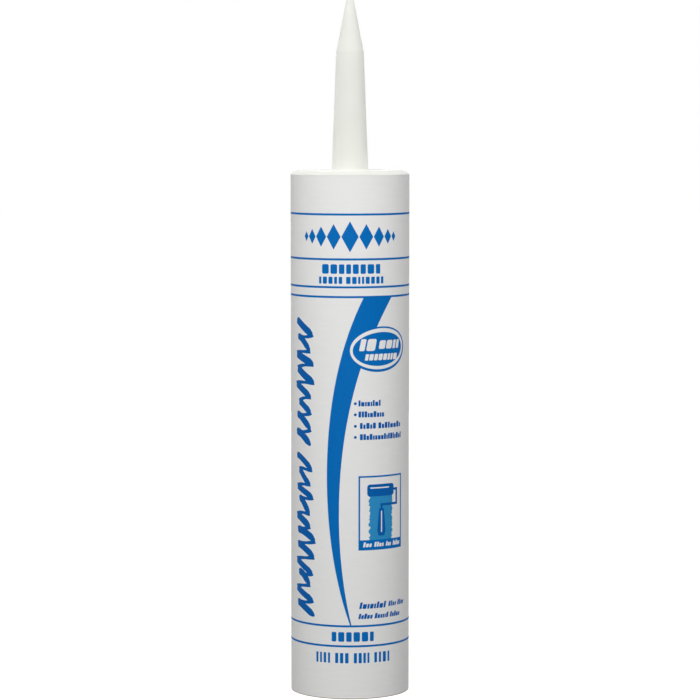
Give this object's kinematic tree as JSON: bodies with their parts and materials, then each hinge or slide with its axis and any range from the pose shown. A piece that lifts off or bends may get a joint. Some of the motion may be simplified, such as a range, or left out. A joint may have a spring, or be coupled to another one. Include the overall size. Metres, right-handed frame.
{
  "type": "caulk tube",
  "caption": "Round paperboard caulk cartridge in a white label with blue print, with a long moulded nozzle at the front and a sliding plunger in its open rear end.",
  "frame": {"origin": "centre of the tube's open rear end, on the surface that the cartridge stands on", "axes": "+Z along the tube's axis towards the nozzle's tip; -Y through the middle of the label's front"},
  "size_m": [0.0494, 0.0494, 0.288],
  "materials": {
    "board": "matte",
    "label_paper": "satin",
    "cap_plastic": "satin",
    "foil": "satin",
    "plunger_plastic": "satin",
    "caulk": "satin"
  },
  "bodies": {
    "cartridge": {"tube": "board", "label": "label_paper", "nozzle_cap": "cap_plastic", "nozzle_seal": "foil", "caulk": "caulk"},
    "plunger": {"plunger": "plunger_plastic"}
  },
  "joints": [
    {"name": "plunger_slide", "type": "slide", "parent": "cartridge", "child": "plunger", "axis": [0, 0, 1], "range_m": [0, 0.1676], "deforming": ["caulk"]}
  ]
}
